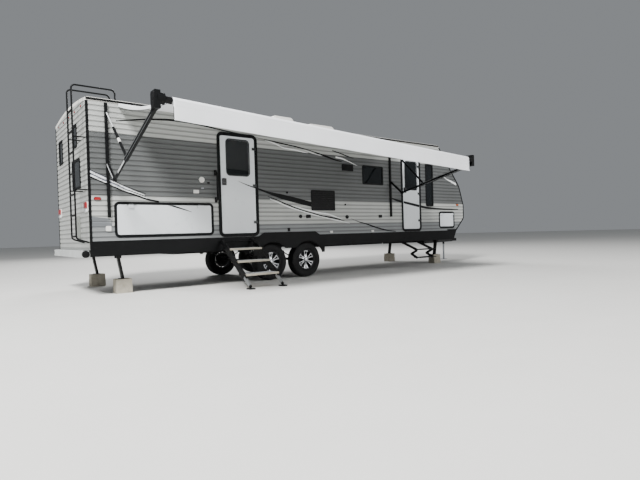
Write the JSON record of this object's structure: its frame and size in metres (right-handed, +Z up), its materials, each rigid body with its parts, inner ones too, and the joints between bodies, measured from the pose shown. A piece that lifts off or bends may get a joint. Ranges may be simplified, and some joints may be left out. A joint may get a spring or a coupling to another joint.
{
  "type": "travel caravan",
  "caption": "Long travel caravan with ribbed siding, entry doors, baggage doors, tandem wheels, a let-out awning, a rear ladder and a tow frame.",
  "frame": {"origin": "on the ground under the middle of the whole object's box, awning included", "axes": "+X towards the towing end, +Y towards the road side, +Z up"},
  "size_m": [11.056, 4.787, 3.56],
  "materials": {
    "wall": "smooth lined panel",
    "siding": "ribbed enamel sheet",
    "roof": "satin membrane",
    "floor": "sheet floor",
    "black": "satin enamel",
    "frame_black": "satin enamel",
    "door_white": "gloss",
    "glass": "tinted",
    "tyre": "matt",
    "rim": "machined",
    "fabric": "coated cloth",
    "alu": "mill finish",
    "grey_plastic": "satin",
    "black_plastic": "matt",
    "lens": "clear",
    "white_plastic": "satin",
    "concrete": "rough",
    "steel": "plated",
    "bottle": "enamel"
  },
  "bodies": {
    "caravan_body": {"wall_camp": "wall", "wall_road": "wall", "wall_rear": "wall", "wall_front": "wall", "roof": "roof", "floor": "floor", "siding_camp": "siding", "siding_road": "siding", "siding_rear": "siding", "skirts": "black", "edge_trims": "black", "chassis_rails": "frame_black", "cross_members": "frame_black", "tow_frame": "frame_black", "coupler": "frame_black", "bumper": "frame_black", "axles": "frame_black", "leaf_springs": "steel", "tanks": "black_plastic", "opening_frames": "black", "window_glass": "glass", "awning_frame": "frame_black", "awning_roller": "alu", "awning_canopy": "fabric", "ladder": "frame_black", "grab_handle": "black_plastic", "roof_air_units": "white_plastic", "roof_vents": "white_plastic", "lamps": "lens", "black_vents": "black_plastic", "white_hatches": "white_plastic", "stabilizer_brackets": "frame_black", "support_blocks": "concrete", "tongue_jack_tube": "frame_black", "gas_bottles": "bottle", "battery_box": "black_plastic", "step_brackets": "frame_black", "front_steps": "frame_black"},
    "entry_door_rear_leaf": {"entry_door_rear": "door_white", "entry_glass_rear": "glass"},
    "entry_door_front_leaf": {"entry_door_front": "door_white", "entry_glass_front": "glass"},
    "entry_steps_frame": {"entry_steps": "alu"},
    "tongue_jack_inner": {"tongue_jack_leg": "steel"},
    "wheel_rear_camp": {"tyre_rear_camp": "tyre", "rim_rear_camp": "rim"},
    "wheel_front_camp": {"tyre_front_camp": "tyre", "rim_front_camp": "rim"},
    "wheel_rear_road": {"tyre_rear_road": "tyre", "rim_rear_road": "rim"},
    "wheel_front_road": {"tyre_front_road": "tyre", "rim_front_road": "rim"},
    "baggage_door_rear_leaf": {"baggage_door_rear": "door_white"},
    "baggage_door_front_leaf": {"baggage_door_front": "door_white"},
    "baggage_door_road_leaf": {"baggage_door_road": "door_white"},
    "stabilizer_rear_camp_leg": {"stabilizer_rear_camp": "frame_black"},
    "stabilizer_rear_road_leg": {"stabilizer_rear_road": "frame_black"},
    "stabilizer_front_camp_leg": {"stabilizer_front_camp": "frame_black"},
    "stabilizer_front_road_leg": {"stabilizer_front_road": "frame_black"}
  },
  "joints": [
    {"name": "wheel_rear_camp_spin", "type": "hinge", "parent": "caravan_body", "child": "wheel_rear_camp", "pos_m": [-2.011, 0.0845, 0.359], "axis": [0, 1, 0], "continuous": true},
    {"name": "wheel_front_camp_spin", "type": "hinge", "parent": "caravan_body", "child": "wheel_front_camp", "pos_m": [-1.152, 0.0845, 0.359], "axis": [0, 1, 0], "continuous": true},
    {"name": "wheel_rear_road_spin", "type": "hinge", "parent": "caravan_body", "child": "wheel_rear_road", "pos_m": [-2.011, 2.2085, 0.359], "axis": [0, 1, 0], "continuous": true},
    {"name": "wheel_front_road_spin", "type": "hinge", "parent": "caravan_body", "child": "wheel_front_road", "pos_m": [-1.152, 2.2085, 0.359], "axis": [0, 1, 0], "continuous": true},
    {"name": "entry_door_rear_swing", "type": "hinge", "parent": "caravan_body", "child": "entry_door_rear_leaf", "pos_m": [-2.356, -0.0935, 1.8445], "axis": [0, 0, 1], "range_deg": [0, 150]},
    {"name": "entry_door_front_swing", "type": "hinge", "parent": "caravan_body", "child": "entry_door_front_leaf", "pos_m": [2.412, -0.0935, 1.8245], "axis": [0, 0, 1], "range_deg": [0, 150]},
    {"name": "baggage_door_rear_lift", "type": "hinge", "parent": "caravan_body", "child": "baggage_door_rear_leaf", "pos_m": [-4.112, -0.0935, 1.47], "axis": [-1, 0, 0], "range_deg": [0, 170]},
    {"name": "baggage_door_front_lift", "type": "hinge", "parent": "caravan_body", "child": "baggage_door_front_leaf", "pos_m": [3.495, -0.0935, 1.352], "axis": [-1, 0, 0], "range_deg": [0, 170]},
    {"name": "baggage_door_road_lift", "type": "hinge", "parent": "caravan_body", "child": "baggage_door_road_leaf", "pos_m": [3.495, 2.3865, 1.352], "axis": [1, 0, 0], "range_deg": [0, 170]},
    {"name": "entry_steps_fold", "type": "hinge", "parent": "caravan_body", "child": "entry_steps_frame", "pos_m": [-2.8, -0.1155, 0.8], "axis": [-1, 0, 0], "range_deg": [0, 100]},
    {"name": "stabilizer_rear_camp_swing", "type": "hinge", "parent": "caravan_body", "child": "stabilizer_rear_camp_leg", "pos_m": [-4.83, 0.3065, 0.602], "axis": [0, -1, 0], "range_deg": [0, 50]},
    {"name": "stabilizer_rear_road_swing", "type": "hinge", "parent": "caravan_body", "child": "stabilizer_rear_road_leg", "pos_m": [-4.83, 1.9865, 0.602], "axis": [0, -1, 0], "range_deg": [0, 50]},
    {"name": "stabilizer_front_camp_swing", "type": "hinge", "parent": "caravan_body", "child": "stabilizer_front_camp_leg", "pos_m": [3.48, 0.3065, 0.602], "axis": [0, 1, 0], "range_deg": [0, 50]},
    {"name": "stabilizer_front_road_swing", "type": "hinge", "parent": "caravan_body", "child": "stabilizer_front_road_leg", "pos_m": [3.48, 1.9865, 0.602], "axis": [0, 1, 0], "range_deg": [0, 50]},
    {"name": "tongue_jack_travel", "type": "slide", "parent": "caravan_body", "child": "tongue_jack_inner", "axis": [0, 0, 1], "range_m": [0, 0.35]}
  ]
}
